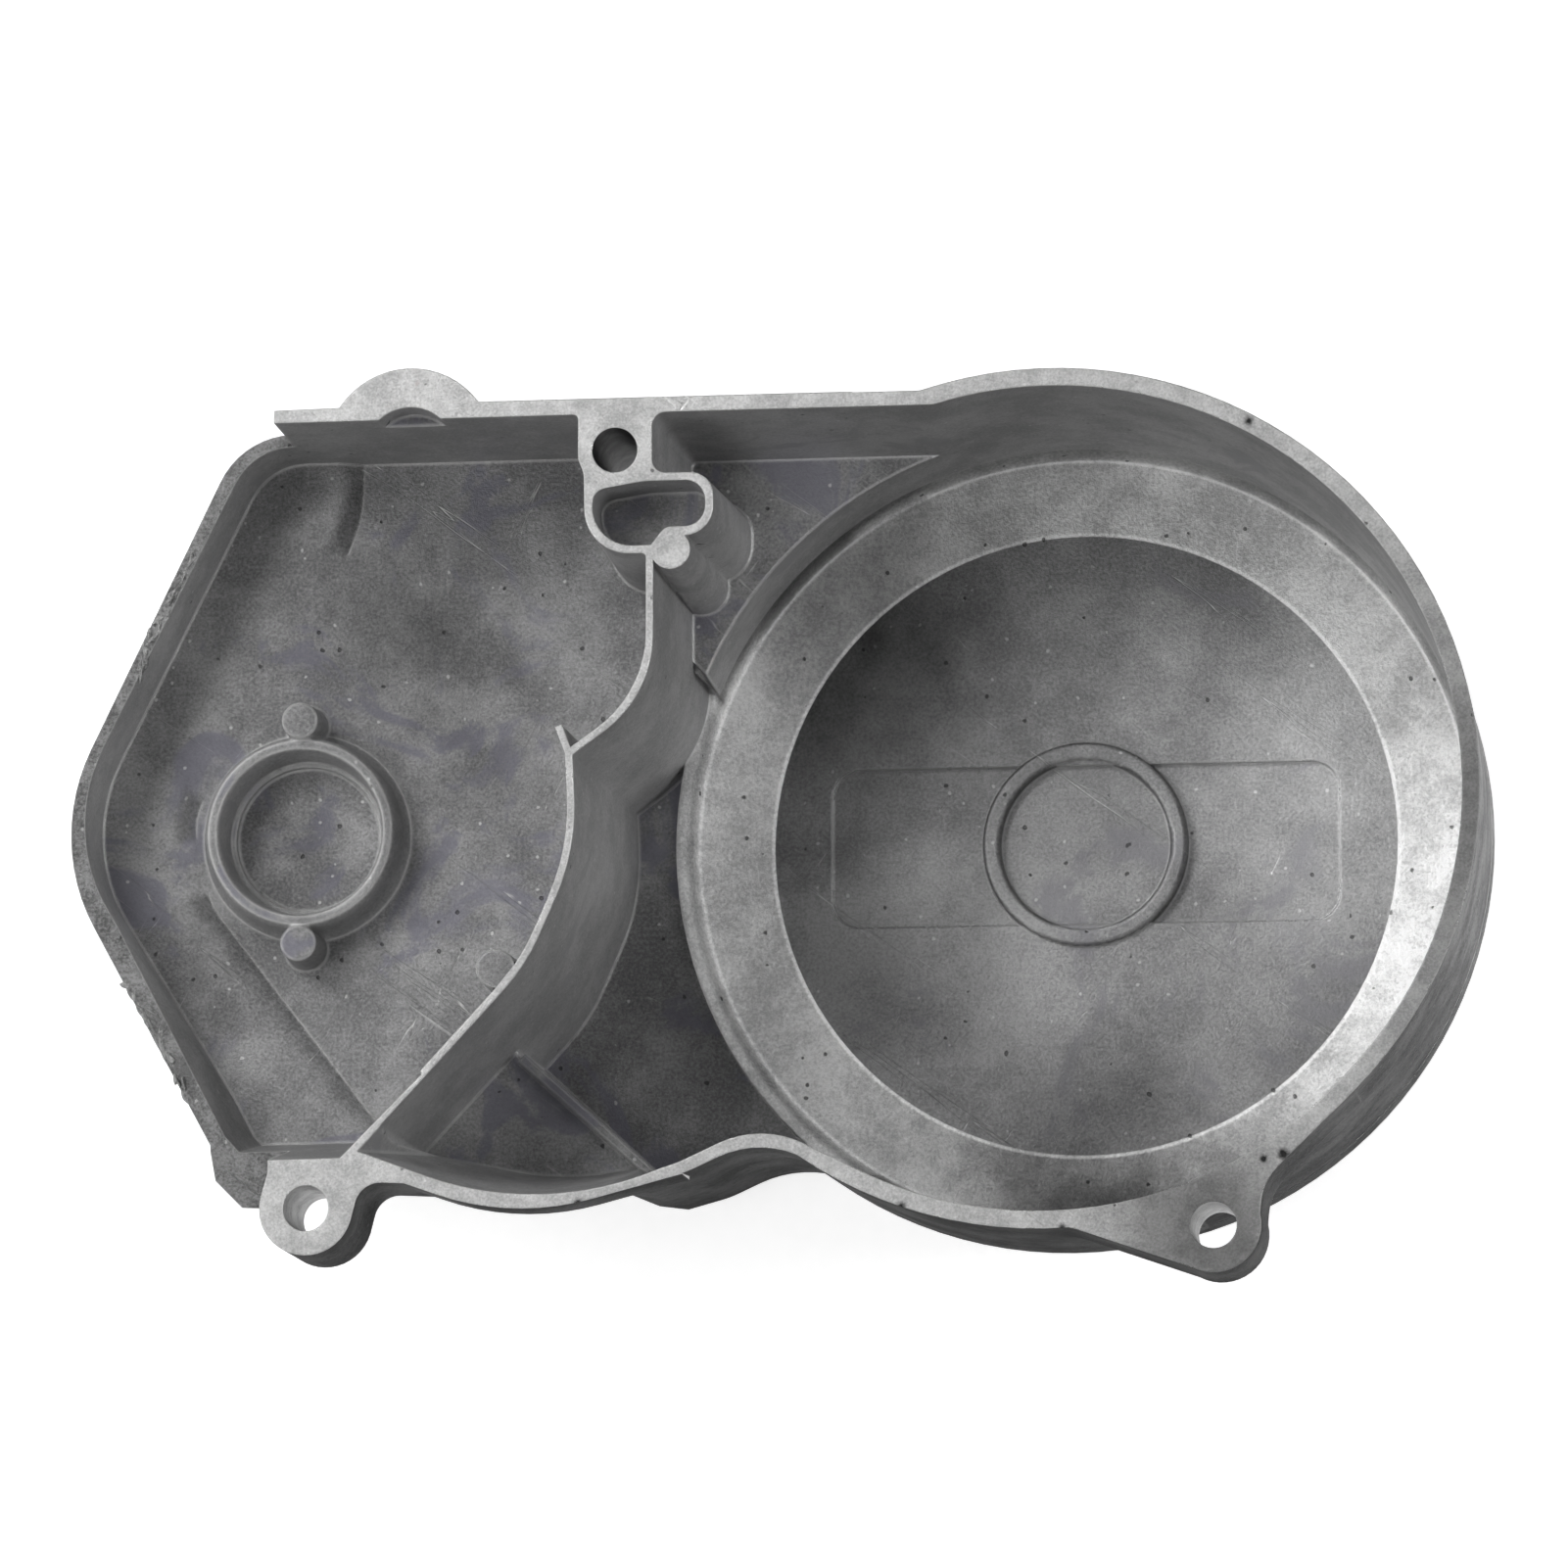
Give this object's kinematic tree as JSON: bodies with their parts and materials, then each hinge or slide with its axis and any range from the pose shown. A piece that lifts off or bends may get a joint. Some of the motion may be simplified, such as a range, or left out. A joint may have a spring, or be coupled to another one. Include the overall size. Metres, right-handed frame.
{
  "type": "stator cover",
  "caption": "One-piece cast aluminium engine side cover, seen from inside: a deep round flywheel chamber beside a shallow chain-side bay with a thin divider, ribs and bolt lugs.",
  "frame": {"origin": "centre of the bounding box in plan, on the plane of the outer face's raised panel", "axes": "+Z from the outer face to the gasket face, +X along the cover towards the round housing, +Y towards the straight top wall"},
  "size_m": [0.2198, 0.1414, 0.0595],
  "materials": {
    "cast_aluminium": "as-cast skin with machined gasket face"
  },
  "bodies": {
    "root": {"stator_cover": "cast_aluminium"}
  },
  "joints": []
}
